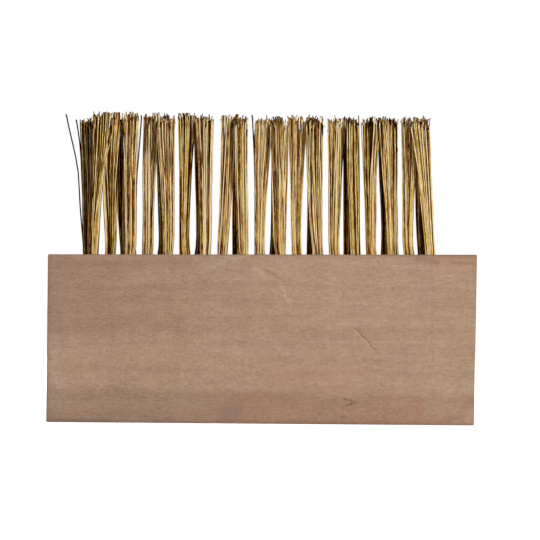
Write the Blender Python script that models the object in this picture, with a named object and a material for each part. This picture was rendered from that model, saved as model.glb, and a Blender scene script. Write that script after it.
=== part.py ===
"""Weed brush head: a hardwood block with three staggered rows of stapled wire tufts.

Metres, +Z up. The block stands on its handle edge at z = 0 with its wires pointing up.
Its length lies along X and its front face looks towards -Y.
"""

import math
import random

import bmesh
import bpy

# Wooden block
BLOCK_LENGTH = 0.240
BLOCK_THICKNESS = 0.045
BLOCK_HEIGHT = 0.095
EDGE_ROUND = 0.0008

# Blind tapered socket for the handle, in the middle of the lower edge
SOCKET_MOUTH_DIAMETER = 0.028
SOCKET_END_DIAMETER = 0.024
SOCKET_DEPTH = 0.050

# Pattern of the holes: the middle row has one tuft less and sits between its neighbours.
# Each row is shifted along X by the small amount that it is off centre in the photo.
LONG_ROW_TUFTS = 10
END_MARGIN = 0.0255
ROW_SPACING = 0.012
FRONT_SHIFT = -0.0004
MIDDLE_SHIFT = -0.0016
REAR_SHIFT = -0.0037

# Holes in the upper edge
HOLE_DIAMETER = 0.0064
HOLE_DEPTH = 0.018

# Staple that holds a tuft's fold down, bent from square wire
STAPLE_WIRE = 0.0008
STAPLE_SIDE_GAP = 0.0006
STAPLE_BITE = 0.007
FIT_GAP = 0.0003

# Tuft: the packed wires in the hole, folded under the staple
FOLD_THICKNESS = 0.0040
ROOT_GAP = 0.0003
ROOT_RECESS = 0.0006

# Tuft: the free strands, in two rings, each of which stands for a few wires
INNER_STRANDS = 3
OUTER_STRANDS = 9
INNER_RING_RADIUS = 0.0008
OUTER_RING_INSET = 0.0002
STRAND_RADIUS = 0.0006
STRAND_EMBEDDED = 0.001
FREE_LENGTH = 0.0790
TIP_SCATTER = 0.0045
KNEE_HEIGHT = 0.0420
KNEE_SPREAD = 0.00046
TIP_SPREAD = 0.00150
KNEE_LEAN_SHARE = 0.35

# How far a tuft's tips lean: sideways, then forwards or backwards, and how much that varies
FRONT_LEAN_X = -0.0016
MIDDLE_LEAN_X = 0.0020
REAR_LEAN_X = -0.0010
FRONT_LEAN_Y = -0.0008
MIDDLE_LEAN_Y = 0.0
REAR_LEAN_Y = 0.0008
LEAN_SCATTER = 0.0006

# The two end tufts that lean more than their rows, towards the left end
FIRST_REAR_LEAN_X = -0.0020
LAST_FRONT_LEAN_X = -0.0044

# The outermost strand of the first rear tuft is bent away from the others
STRAY_KNEE_SHIFT = -0.0022
STRAY_TIP_SHIFT = -0.0074

# Facets
HOLE_SIDES = 16
ROOT_SIDES = 12
SOCKET_SIDES = 32
STRAND_SIDES = 3
EDGE_STEPS = 2
SHARP_ANGLE = math.radians(40)

# How far a cutter stands out of what it cuts
CUTTER_OVERRUN = 0.002

WOOD_COLOUR = (0.392, 0.250, 0.174, 1.0)
BRASSED_STEEL_COLOUR = (0.560, 0.400, 0.170, 1.0)
STEEL_COLOUR = (0.450, 0.450, 0.440, 1.0)


def clear_scene():
    for obj in list(bpy.data.objects):
        bpy.data.objects.remove(obj, do_unlink=True)


def make_material(name, colour, roughness, metallic):
    material = bpy.data.materials.new(name)
    material.use_nodes = True
    shader = material.node_tree.nodes["Principled BSDF"]
    shader.inputs["Base Color"].default_value = colour
    shader.inputs["Roughness"].default_value = roughness
    shader.inputs["Metallic"].default_value = metallic
    return material


def object_from(bm, name, material=None):
    """Turns the shape into an object of the scene, its faces pointing out."""
    bmesh.ops.recalc_face_normals(bm, faces=bm.faces)
    mesh = bpy.data.meshes.new(name)
    bm.to_mesh(mesh)
    bm.free()
    mesh.shade_smooth()
    mesh.set_sharp_from_angle(angle=SHARP_ANGLE)
    if material:
        mesh.materials.append(material)
    obj = bpy.data.objects.new(name, mesh)
    bpy.context.scene.collection.objects.link(obj)
    return obj


def helper_from(bm, name):
    """A cutter or a shape to be joined, which is no piece of the brush itself."""
    obj = object_from(bm, name)
    obj.hide_render = True
    obj.display_type = "WIRE"
    return obj


def combine(obj, other, operation):
    modifier = obj.modifiers.new(other.name, "BOOLEAN")
    modifier.operation = operation
    modifier.object = other
    modifier.solver = "EXACT"
    modifier.use_self = True


def add_round(bm, x, y, bottom, top, bottom_radius, top_radius, sides):
    """Adds an upright cylinder or cone between two heights."""
    made = bmesh.ops.create_cone(
        bm,
        cap_ends=True,
        segments=sides,
        radius1=bottom_radius,
        radius2=top_radius,
        depth=top - bottom,
    )
    bmesh.ops.translate(bm, verts=made["verts"], vec=(x, y, (bottom + top) / 2))


def add_arch(bm, x, y, outer, inner, foot, under, top, half_width):
    """Adds an upright U with its legs pointing down, as wide in Y as twice half_width."""
    outline = (
        (-outer, foot),
        (-inner, foot),
        (-inner, under),
        (inner, under),
        (inner, foot),
        (outer, foot),
        (outer, top),
        (-outer, top),
    )
    corners = [bm.verts.new((x + across, y - half_width, z)) for across, z in outline]
    face = bm.faces.new(corners)
    pushed = bmesh.ops.extrude_face_region(bm, geom=[face])
    moved = [item for item in pushed["geom"] if isinstance(item, bmesh.types.BMVert)]
    bmesh.ops.translate(bm, verts=moved, vec=(0, 2 * half_width, 0))


def add_strand(bm, line, radius, turn):
    """Adds a prism along the line, whose rings lie level."""
    rings = []
    for x, y, z in line:
        ring = []
        for side in range(STRAND_SIDES):
            angle = turn + 2 * math.pi * side / STRAND_SIDES
            ring.append(bm.verts.new((x + radius * math.cos(angle), y + radius * math.sin(angle), z)))
        rings.append(ring)
    for low, high in zip(rings, rings[1:]):
        for side in range(STRAND_SIDES):
            after = (side + 1) % STRAND_SIDES
            bm.faces.new((low[side], low[after], high[after], high[side]))
    bm.faces.new(rings[0])
    bm.faces.new(rings[-1])


def hole_bottom():
    return BLOCK_HEIGHT - HOLE_DEPTH


def staple_levels():
    """Heights of the staple's feet, of its crown's underside and of its crown's top."""
    under = hole_bottom() + ROOT_GAP + FOLD_THICKNESS + FIT_GAP
    return hole_bottom() - STAPLE_BITE, under, under + STAPLE_WIRE


def staple_reach():
    """Half the staple's width outside and between its legs."""
    outer = HOLE_DIAMETER / 2 - STAPLE_SIDE_GAP
    return outer, outer - STAPLE_WIRE


def rows():
    """The rows from front to back: name, tufts in the row, its centre, and its tips' lean."""
    yield "front", LONG_ROW_TUFTS, FRONT_SHIFT, -ROW_SPACING, FRONT_LEAN_X, FRONT_LEAN_Y
    yield "middle", LONG_ROW_TUFTS - 1, MIDDLE_SHIFT, 0.0, MIDDLE_LEAN_X, MIDDLE_LEAN_Y
    yield "rear", LONG_ROW_TUFTS, REAR_SHIFT, ROW_SPACING, REAR_LEAN_X, REAR_LEAN_Y


def lean_of(row_name, number, row_lean_x, row_lean_y):
    """How far a tuft's tips lean in X and Y."""
    if (row_name, number) == ("rear", 1):
        return FIRST_REAR_LEAN_X, row_lean_y
    if (row_name, number) == ("front", LONG_ROW_TUFTS):
        return LAST_FRONT_LEAN_X, row_lean_y
    chance = random.Random(f"{row_name} {number}")
    sideways = row_lean_x + chance.uniform(-LEAN_SCATTER, LEAN_SCATTER)
    return sideways, row_lean_y + chance.uniform(-LEAN_SCATTER, LEAN_SCATTER)


def tufts():
    """Every tuft: its row's name, its number in the row, x, y and lean."""
    pitch = (BLOCK_LENGTH - 2 * END_MARGIN) / (LONG_ROW_TUFTS - 1)
    for row_name, count, shift, y, lean_x, lean_y in rows():
        for index in range(count):
            x = pitch * (index - (count - 1) / 2) + shift
            yield row_name, index + 1, x, y, lean_of(row_name, index + 1, lean_x, lean_y)


def outer_ring_radius():
    return HOLE_DIAMETER / 2 - ROOT_GAP - OUTER_RING_INSET - STRAND_RADIUS


def strand_feet(turn):
    """Where the strands of a tuft stand in its root: an inner ring in an outer one."""
    feet = []
    rings = ((INNER_STRANDS, INNER_RING_RADIUS), (OUTER_STRANDS, outer_ring_radius()))
    for count, distance in rings:
        for index in range(count):
            angle = turn + 2 * math.pi * index / count
            feet.append((distance * math.cos(angle), distance * math.sin(angle)))
    return feet


def strand_line(x, y, foot, lean, tip_height, stray):
    """A strand's foot, knee and tip. Strands of one tuft fan out alike, so none cross.

    A spread is how much farther from the tuft's axis the outer ring stands than at its
    foot. Above the knee the spread and the lean grow evenly with height, so a shorter
    strand ends on the same line as a longer one would.
    """
    root_top = BLOCK_HEIGHT - ROOT_RECESS
    rise = (tip_height - KNEE_HEIGHT) / (FREE_LENGTH - KNEE_HEIGHT)
    tip_spread = KNEE_SPREAD + (TIP_SPREAD - KNEE_SPREAD) * rise
    tip_share = KNEE_LEAN_SHARE + (1 - KNEE_LEAN_SHARE) * rise
    line = [(x + foot[0], y + foot[1], root_top - STRAND_EMBEDDED)]
    for height, spread, lean_share, stray_shift in (
        (KNEE_HEIGHT, KNEE_SPREAD, KNEE_LEAN_SHARE, STRAY_KNEE_SHIFT),
        (tip_height, tip_spread, tip_share, STRAY_TIP_SHIFT),
    ):
        growth = 1 + spread / outer_ring_radius()
        across = x + foot[0] * growth + lean[0] * lean_share
        if stray:
            across += stray_shift
        line.append((across, y + foot[1] * growth + lean[1] * lean_share, BLOCK_HEIGHT + height))
    return line


def make_strands(name, row_name, number, x, y, lean):
    """The free strands of one tuft, as one shape of separate prisms."""
    chance = random.Random(f"{row_name} {number} strands")
    feet = strand_feet(chance.uniform(0, math.pi))
    outermost = min(feet)
    strays = (row_name, number) == ("rear", 1)
    bm = bmesh.new()
    for foot in feet:
        tip_height = FREE_LENGTH - TIP_SCATTER * chance.random()
        line = strand_line(x, y, foot, lean, tip_height, strays and foot == outermost)
        add_strand(bm, line, STRAND_RADIUS, chance.uniform(0, math.pi))
    return helper_from(bm, name)


def make_fold_groove(name, x, y):
    """The room that the staple takes in a tuft's root, open at the root's sides."""
    _, inner = staple_reach()
    _, under, top = staple_levels()
    bm = bmesh.new()
    add_arch(
        bm,
        x,
        y,
        outer=HOLE_DIAMETER / 2 + CUTTER_OVERRUN,
        inner=inner - FIT_GAP,
        foot=hole_bottom() - CUTTER_OVERRUN,
        under=under - FIT_GAP,
        top=top + FIT_GAP,
        half_width=STAPLE_WIRE / 2 + FIT_GAP,
    )
    return helper_from(bm, name)


def make_tuft(row_name, number, x, y, lean, material):
    """The packed root in the hole with its free strands, folded under the staple's crown."""
    radius = HOLE_DIAMETER / 2 - ROOT_GAP
    bm = bmesh.new()
    bottom = hole_bottom() + ROOT_GAP
    add_round(bm, x, y, bottom, BLOCK_HEIGHT - ROOT_RECESS, radius, radius, ROOT_SIDES)
    tuft = object_from(bm, f"tuft_{row_name}_{number:02d}", material)
    strands = make_strands(f"strands_{row_name}_{number:02d}", row_name, number, x, y, lean)
    groove = make_fold_groove(f"groove_{row_name}_{number:02d}", x, y)
    combine(tuft, strands, "UNION")
    combine(tuft, groove, "DIFFERENCE")
    return tuft


def make_staple(row_name, number, x, y, material):
    outer, inner = staple_reach()
    foot, under, top = staple_levels()
    bm = bmesh.new()
    add_arch(bm, x, y, outer, inner, foot, under, top, STAPLE_WIRE / 2)
    return object_from(bm, f"staple_{row_name}_{number:02d}", material)


def make_hole_drills():
    bm = bmesh.new()
    radius = HOLE_DIAMETER / 2
    for _, _, x, y, _ in tufts():
        add_round(bm, x, y, hole_bottom(), BLOCK_HEIGHT + CUTTER_OVERRUN, radius, radius, HOLE_SIDES)
    return helper_from(bm, "hole_drills")


def make_staple_pockets():
    """What the staples' legs cut into the wood under the holes, a fit gap wider all round."""
    outer, inner = staple_reach()
    foot, under, top = staple_levels()
    bm = bmesh.new()
    for _, _, x, y, _ in tufts():
        add_arch(
            bm,
            x,
            y,
            outer=outer + FIT_GAP,
            inner=inner - FIT_GAP,
            foot=foot - FIT_GAP,
            under=under - FIT_GAP,
            top=top + FIT_GAP,
            half_width=STAPLE_WIRE / 2 + FIT_GAP,
        )
    return helper_from(bm, "staple_pockets")


def make_socket_reamer():
    """The tapered reamer of the handle socket. Its taper runs on below the block."""
    mouth = SOCKET_MOUTH_DIAMETER / 2
    end = SOCKET_END_DIAMETER / 2
    below = mouth + (mouth - end) * CUTTER_OVERRUN / SOCKET_DEPTH
    bm = bmesh.new()
    add_round(bm, 0, 0, -CUTTER_OVERRUN, SOCKET_DEPTH, below, end, SOCKET_SIDES)
    return helper_from(bm, "socket_reamer")


def make_block(material):
    bm = bmesh.new()
    bmesh.ops.create_cube(bm, size=1.0)
    bmesh.ops.scale(bm, verts=bm.verts, vec=(BLOCK_LENGTH, BLOCK_THICKNESS, BLOCK_HEIGHT))
    bmesh.ops.translate(bm, verts=bm.verts, vec=(0, 0, BLOCK_HEIGHT / 2))
    block = object_from(bm, "block", material)
    rounding = block.modifiers.new("eased_edges", "BEVEL")
    rounding.width = EDGE_ROUND
    rounding.segments = EDGE_STEPS
    combine(block, make_hole_drills(), "DIFFERENCE")
    combine(block, make_staple_pockets(), "DIFFERENCE")
    combine(block, make_socket_reamer(), "DIFFERENCE")
    return block


def main():
    clear_scene()
    wood = make_material("hardwood", WOOD_COLOUR, roughness=0.65, metallic=0.0)
    wire = make_material("brassed_wire", BRASSED_STEEL_COLOUR, roughness=0.38, metallic=0.85)
    steel = make_material("staple_steel", STEEL_COLOUR, roughness=0.40, metallic=1.0)
    make_block(wood)
    for row_name, number, x, y, lean in tufts():
        make_tuft(row_name, number, x, y, lean, wire)
        make_staple(row_name, number, x, y, steel)


main()
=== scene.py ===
"""Visual model of a weed brush: a planed hardwood block with three rows of wire tufts.

Metres, +Z up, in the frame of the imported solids. Millimetres where a name ends in _MM, and in
the materials, whose noises and marks are placed in millimetres of the object.
"""

import math

import bmesh
import bpy
import numpy as np
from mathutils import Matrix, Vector, noise


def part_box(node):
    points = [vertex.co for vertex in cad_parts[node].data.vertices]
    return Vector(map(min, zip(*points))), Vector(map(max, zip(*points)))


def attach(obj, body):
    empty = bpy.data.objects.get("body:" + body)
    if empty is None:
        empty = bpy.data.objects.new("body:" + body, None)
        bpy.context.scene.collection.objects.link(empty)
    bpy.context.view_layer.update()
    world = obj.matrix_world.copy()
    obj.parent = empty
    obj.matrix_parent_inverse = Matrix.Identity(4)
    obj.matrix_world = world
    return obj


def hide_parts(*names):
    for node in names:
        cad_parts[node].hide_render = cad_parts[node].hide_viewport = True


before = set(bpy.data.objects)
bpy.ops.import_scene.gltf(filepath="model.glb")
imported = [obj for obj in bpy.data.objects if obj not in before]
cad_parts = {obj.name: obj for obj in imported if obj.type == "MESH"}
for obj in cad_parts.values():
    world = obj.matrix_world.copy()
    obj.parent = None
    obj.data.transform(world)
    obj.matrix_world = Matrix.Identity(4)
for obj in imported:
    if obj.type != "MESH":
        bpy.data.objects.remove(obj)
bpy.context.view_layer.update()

MM = 0.001
NEAR_ZERO = 1e-9
BLOCK_LOW, BLOCK_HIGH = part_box("block")

# Camera: in front of the block's face, level, turned a little about its own axis
CAMERA_X = 0.00428
CAMERA_HEIGHT = 0.08589
CAMERA_DISTANCE = 3.0
CAMERA_ROLL_DEG = 0.47
SENSOR_WIDTH_MM = 36.0
LENS_MM = 358.3

# Square soft boxes: azimuth (0 in front of the brush, 90 at its right end), elevation,
# distance, side and power. All face the middle of the brush.
LAMP_TARGET = Vector((0, 0, 0.09))
LAMPS = {
    "key": (13, 11, 2.6, 0.22, 47.8),
    "back": (180, 20, 2.2, 1.2, 26),
    "right": (100, 25, 2.2, 0.8, 12),
    "left": (-145, 25, 2.2, 0.8, 16),
    "top": (20, 84, 2.2, 0.8, 4),
}
WORLD_LIGHT = 0.03

# Floor: a grey that is white to the camera far away and keeps a soft shadow near the brush
FLOOR_REACH = 6.0
FLOOR_GREY = 0.9
FLOOR_FADE_MM = (250.0, 1100.0)
FLOOR_GLOW = (0.78, 1.0)

# Block
EDGE_RADIUS = 0.0007
EDGE_SEGMENTS = 3
SLICE = 0.003
HOLE_RADIUS = 0.0032
HOLE_DEPTH = 0.018
HOLE_SIDES = 40
SOCKET_MOUTH_RADIUS = 0.014
SOCKET_END_RADIUS = 0.012
SOCKET_DEPTH = 0.050
SOCKET_SIDES = 72

# How far the board's corners are moved, seen from the front, as it is sawn out of square
LEFT_TOP_INSET = 0.00023
RIGHT_TOP_INSET = 0.0002
RIGHT_FOOT_INSET = 0.0011
LEFT_TOP_DROP = 0.0013
RIGHT_TOP_RISE = 0.00038

# Worn edges: depth, reach in edge radii, noises (features to a metre and their share), and how
# far from an edge the wood is darkened as painted shade
WEAR_DEPTH = 0.00035
WEAR_REACH = 1.6
WEAR_NOISES = ((140, 0.5), (420, 0.3))
EDGE_SHADE_REACH = 0.0012

# Countersink that the drill leaves at a hole's mouth, its ragged edge, and how many of its
# widths the cutter flares above the block
RIM_WIDTH = 0.0002
RIM_FLARE = 4
RIM_DEPTH = 0.0006
RIM_RAGGEDNESS = 0.0003
RIM_NOISE_BY_PLACE = 900
RIM_NOISE_BY_TURN = 2
RIM_NOISE_START = 1.7

# How far a cutter stands out of the block, and how much wider its taper makes the socket there
CUTTER_OVERRUN = 0.002
SOCKET_OVERRUN_WIDENING = 1.006

# Wires
WIRE_RADIUS = 0.00027
BUNDLE_RADIUS = HOLE_RADIUS - WIRE_RADIUS
PAIRS_PER_TUFT = 36
WIRE_SIDES = 6
TIP_HEIGHT = 0.0762
TIP_SCATTER = 0.0016
TIP_LIMITS = (0.0705, 0.0789)
SHORT_SHARE = 0.07
SHORTER_BY = (0.001, 0.006)
SEED = 20

# Cut end of a wire: two short steps, bent a little or, on some wires, more
END_STEP = 0.0009
END_STEPS = 2
END_BEND = 0.08
END_SHARP_BEND = 0.28
END_SLIGHT_SHARE = 0.75
END_MARKS = (0.4, 0.8, 1.0)
END_SWELLING = 0.12

# Fold of a tuft's wires under the staple, in layers of a few columns: half the span of the
# innermost layer, its lowest point under the staple, and what each layer and column adds
STAPLE_WIRE = 0.0008
FOLD_COLUMNS = 4
FOLD_HALF_SPAN = 0.00078
FOLD_LAYER_SPAN = 0.00024
FOLD_DROP = 0.00038
FOLD_LAYER_DROP = 0.00044
FOLD_COLUMN_STEP = 0.00066
FOLD_TURN_RISE = 0.0002
FOLD_LEG = 0.0012
FOLD_POINTS = 7
FOLD_LEG_PULL = 0.3

# How a tuft's wires spread: scatter in the hole, lean and spread to front and back, gathering
# into locks, and a few wild ones
FOOT_SCATTER = 0.00018
ROW_LEAN_Y_MM = {"front": -0.8, "middle": 0.0, "rear": 0.8}
TIP_SPREAD_Y_MM = 1.1
LOCKS = 6
LOCK_REACH = 0.85
LOCK_GATHERING = (0.6, 0.95)
LOCK_SHIFT = 0.0005
TIP_JITTER = 0.00028
WILD_SHARE = 0.07
WILD_SCATTER = (0.0013, 0.0012)

# How a wire runs up: bowed by a power of its height, swaying in half waves, and pushed off its
# neighbours, a share at a time, until they are CLOSE_PACKING radii apart
BOW = (1.05, 1.7)
SWAY = 0.00016
HALF_WAVES = (1.2, 2.6)
CLOSE_PACKING = 1.98
PUSH_SHARE = 0.3
FOOT_ROUNDS = 120
FREE_ROUNDS = 14

# Tufts are fitted to their sides from a low share at the hole to the whole a little higher
SIDE_PERCENTILES = (3, 97)
FIT_START = 0.2
FIT_HEIGHT = 0.010

# The wires seen side by side from the front are bright and dark by turns: painted highlights
# on shiny wires and painted shade between them. This is worked out at some of the levels, in
# columns that lie COLUMN_STEP wire radii apart.
WIRE_LEVELS_MM = (-8, -4, 0, 4, 10, 18, 27, 37, 47, 57, 66, 73, 79)
MOUTH = WIRE_LEVELS_MM.index(0)
SEEN_LEVELS = (8, 6, 10, 7, 9, 5, 11, 4, 12, 3)
COLUMN_STEP = 0.3
BRIGHT_TONES = (0.66, 1.06)
DARK_TONES = (-0.08, 0.36)
HIDDEN_TONE_SHAPE = (0.8, 0.7)
HIDDEN_TONE_TOP = 0.9

# What a row adds to its wires' tones, what it takes off towards the tips, how much the locks
# differ, and how fast a tone changes into the next at the fold
# The rear row's much lower tone is painted shade, where the rows in front shade it
ROW_TONE_WITH_REAR_SHADE = {"front": 0.10, "middle": 0.06, "rear": -0.32}
ROW_FADE = {"front": 0.12, "middle": -0.03, "rear": 0.0}
LOCK_TONE_SCATTER = 0.04
FOLD_BLEND = (-20, 21)

# How far the left and the right side of each tuft stand from those of a straight one, in
# millimetres, at four heights above the block
SIDE_HEIGHTS_MM = (5, 22, 45, 72)
SIDE_SHIFTS_MM = {
    "front_01": ((0.1, 0.2), (0.5, 0.9), (1.6, 2.4), (2.6, 4.3)),
    "front_02": ((0.2, 0.3), (-0.1, 0.1), (-0.7, -0.1), (-1.2, 0.9)),
    "front_03": ((0.2, 0.4), (-0.2, 0.3), (-1.7, 0.2), (-4.2, 0.3)),
    "front_04": ((0.1, 0.2), (-0.4, 0.1), (-1.2, 0.5), (-2.8, 0.7)),
    "front_05": ((-0.2, -0.1), (-0.7, -0.2), (-1.9, -0.8), (-2.2, -1.1)),
    "front_06": ((-0.8, -0.3), (-1.2, 0.0), (-2.2, 0.5), (-3.2, 1.3)),
    "front_07": ((-0.3, -0.6), (-2.0, -0.8), (-3.6, -0.9), (-4.6, -0.8)),
    "front_08": ((-0.1, -0.6), (-0.6, -1.0), (-2.0, -1.2), (-2.8, -1.7)),
    "front_09": ((-0.1, -0.5), (-0.6, -0.7), (-2.4, -0.9), (-3.0, -1.0)),
    "front_10": ((-0.1, -0.9), (-1.6, -1.6), (-3.9, -2.9), (-6.9, -4.1)),
    "middle_01": ((0.3, 0.4), (-0.8, 0.7), (-1.9, 0.5), (-1.9, 1.9)),
    "middle_02": ((0.1, 0.2), (0.3, 0.1), (-0.2, 1.0), (0.2, 2.0)),
    "middle_03": ((-0.1, -1.0), (-0.2, -0.6), (-0.4, 0.3), (-1.3, 2.1)),
    "middle_04": ((0.3, 0.1), (1.1, 1.3), (1.6, 2.7), (1.9, 3.9)),
    "middle_05": ((0.6, -0.4), (0.4, 0.0), (-0.2, 1.4), (-0.4, 3.4)),
    "middle_06": ((-0.1, -1.1), (-0.7, -0.7), (-1.1, 0.1), (-2.5, 1.6)),
    "middle_07": ((-0.2, -0.7), (-0.4, 0.2), (-0.6, 0.7), (-1.3, 2.5)),
    "middle_08": ((-0.4, -1.0), (-0.7, -0.6), (-1.9, -0.9), (-3.5, 1.2)),
    "middle_09": ((-0.6, -1.2), (-0.8, -0.9), (-1.2, 0.1), (-1.9, 0.7)),
    "rear_01": ((-0.4, -0.2), (-0.5, -0.4), (-1.1, -0.5), (-2.5, -0.8)),
    "rear_02": ((-0.3, 0.0), (-1.6, 0.0), (-3.3, 0.2), (-3.4, 0.6)),
    "rear_03": ((0.9, 0.4), (0.2, 0.3), (-0.6, 0.1), (-2.2, -0.1)),
    "rear_04": ((0.9, 0.0), (0.7, -0.1), (-0.2, -0.3), (-1.1, -0.5)),
    "rear_05": ((0.2, -0.1), (0.0, -0.2), (0.1, -0.4), (0.7, -0.6)),
    "rear_06": ((0.7, 0.4), (1.0, 0.5), (0.9, 0.6), (0.7, 1.0)),
    "rear_07": ((0.2, -0.3), (0.5, -0.4), (0.2, -0.6), (-0.1, -0.3)),
    "rear_08": ((0.0, -0.1), (-0.2, 0.0), (-0.4, -0.2), (-0.8, -0.4)),
    "rear_09": ((0.4, 0.0), (0.2, -0.1), (-1.3, -0.3), (-2.0, -0.5)),
    "rear_10": ((-0.4, -0.6), (-1.4, -0.8), (-1.9, -1.0), (-2.7, -1.2)),
}

# How much a tuft is longer than TIP_HEIGHT, in millimetres, and brighter than its row
TUFT_LENGTH_AND_TONE = {
    "front_01": (-0.4, -0.20),
    "front_02": (0.1, 0.16),
    "front_03": (-1.0, 0.16),
    "front_04": (-1.6, 0.08),
    "front_05": (-1.6, 0.11),
    "front_06": (-3.2, 0.17),
    "front_07": (-2.7, 0.01),
    "front_08": (-2.7, -0.29),
    "front_09": (-2.1, -0.13),
    "front_10": (-3.0, 0.06),
    "middle_01": (0.7, -0.23),
    "middle_02": (-0.4, 0.12),
    "middle_03": (0.7, -0.29),
    "middle_04": (-1.0, 0.02),
    "middle_05": (-1.5, 0.29),
    "middle_06": (-1.0, 0.12),
    "middle_07": (-1.5, 0.07),
    "middle_08": (-1.5, -0.45),
    "middle_09": (-1.0, 0.06),
    "rear_01": (-2.8, 0.12),
}
OTHER_LENGTH_AND_TONE = (-1.0, 0.0)

# How evenly the wires of a few wide tufts are spread across, from 0 to 1
EVENNESS = {"front_01": 0.4, "front_04": 0.4, "middle_01": 0.4}

# Wires that cross their neighbours: how many, the lean of their tips to the right, and the
# power of the height by which they lean
CROSSING_MM = {
    "front_01": (3, 9.5, 2.2),
    "middle_08": (5, 2.5, 3.0),
    "front_09": (5, -3.5, 2.0),
    "front_10": (6, -3.0, 1.5),
}
CROSSING_LEAN_Y_MM = -1.8
CROSSING_FAN = (0.3, 1.0)
CROSSING_SCATTER = 0.0003
CROSSING_FRONT_WEIGHT = 1.5

# Single wires bent away from their tuft: (height above the block, offset from the hole)
STRAYS_MM = {
    "rear_01": (
        ((0, -2.7), (30, -5.4), (44, -6.0), (52, -7.1), (58, -8.7), (64, -10.2), (69, -11.4),
         (78, -13.5)),
        ((0, -2.3), (28, -3.4), (44, -4.3), (57, -4.9), (65, -5.9), (72, -7.1), (75, -7.6)),
    ),
    "front_02": (((0, 2.4), (30, 2.9), (45, 3.2), (58, 4.4), (72, 5.3), (77, 5.7)),),
    "middle_05": (((0, -2.6), (37, -2.9), (54, -3.4), (78, -4.8)),),
}
STRAY_TONE = -0.2
STRAY_THICKNESS = 1.4

# Noises of the wood: features to a millimetre along, through and up the board, detail, and
# then roughness and distortion where these aren't the usual ones
GRAIN_NOISES = {
    "wander": ((0.006, 0.03, 0.03), 3.0),
    "fibre": ((0.10, 1.6, 1.6), 4.0, 0.65),
    "pores": ((0.32, 2.4, 2.4), 2.0, 0.6),
    "fine": ((0.50, 1.0, 1.0), 3.0, 0.8),
    "grit": ((1.1, 1.7, 1.7), 1.0),
    "mottle": ((0.07, 0.16, 0.16), 3.0, 0.6),
    "bands": ((0.008, 0.11, 0.11), 3.0, 0.6, 0.4),
    "ripple": ((0.42, 0.02, 0.02), 1.0),
    "hue": ((0.03, 0.06, 0.06), 2.0),
}
SHADE_WEIGHTS = {
    "fine": 0.84,
    "grit": 0.48,
    "fibre": 0.52,
    "mottle": 0.34,
    "bands": 0.15,
    "ripple": 0.10,
}
RELIEF_WEIGHTS = {"fibre": 0.5, "pore": -0.6, "ripple": 0.5, "fine": 0.3}
RELIEF_HEIGHT = 0.00012

# Growth rings about a pith behind and below the block
PITH_MM = (0.0, 85.0, -60.0)
RING_WANDER_MM = 16.0
RING_NOISE = ((0.002, 1.0, 0.23), 3.0, 0.6)

# Painted shade darkens the board to the left, less so below a light band, as the light falls
# from the right. The board also darkens along its foot, less so at its right end. These bands
# wander, and the left part of the foot is greyer.
LEFT_SHADE_MM = (55.0, -125.0)
LIGHT_BAND_MM = (36.0, 52.0)
BELOW_BAND_SHARE = 0.15
FOOT_BAND_MM = (21.0, 15.0)
FOOT_PART_MM = (125.0, 60.0)
FOOT_END_SHARE = 0.3
FOOT_COLOUR_CHANGE_MM = (-40.0, -5.0)
LEVEL_WANDER_MM = 14.0

WOOD_COLOURS = {
    "dark_ring": (165, 133, 111),
    "pale_ring": (175, 145, 124),
    "yellower": (168, 140, 112),
    "pore": (118, 88, 68),
    "left_shade": (134, 103, 84),
    "foot_left": (136, 112, 92),
    "foot_right": (142, 106, 84),
    "edge_shade": (116, 88, 70),
}

# How much of each colour shows, and between which values of its noise it comes in
WOOD_SHARES = {"yellower": 0.5, "pore": 0.38, "left_shade": 0.50, "foot": 0.45, "edge_shade": 0.62}
RING_EDGES = (0.30, 0.70)
YELLOWER_EDGES = (0.35, 0.65)
PORE_EDGES = (0.60, 0.74)
WOOD_ROUGHNESS = (0.62, 0.78)

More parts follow.
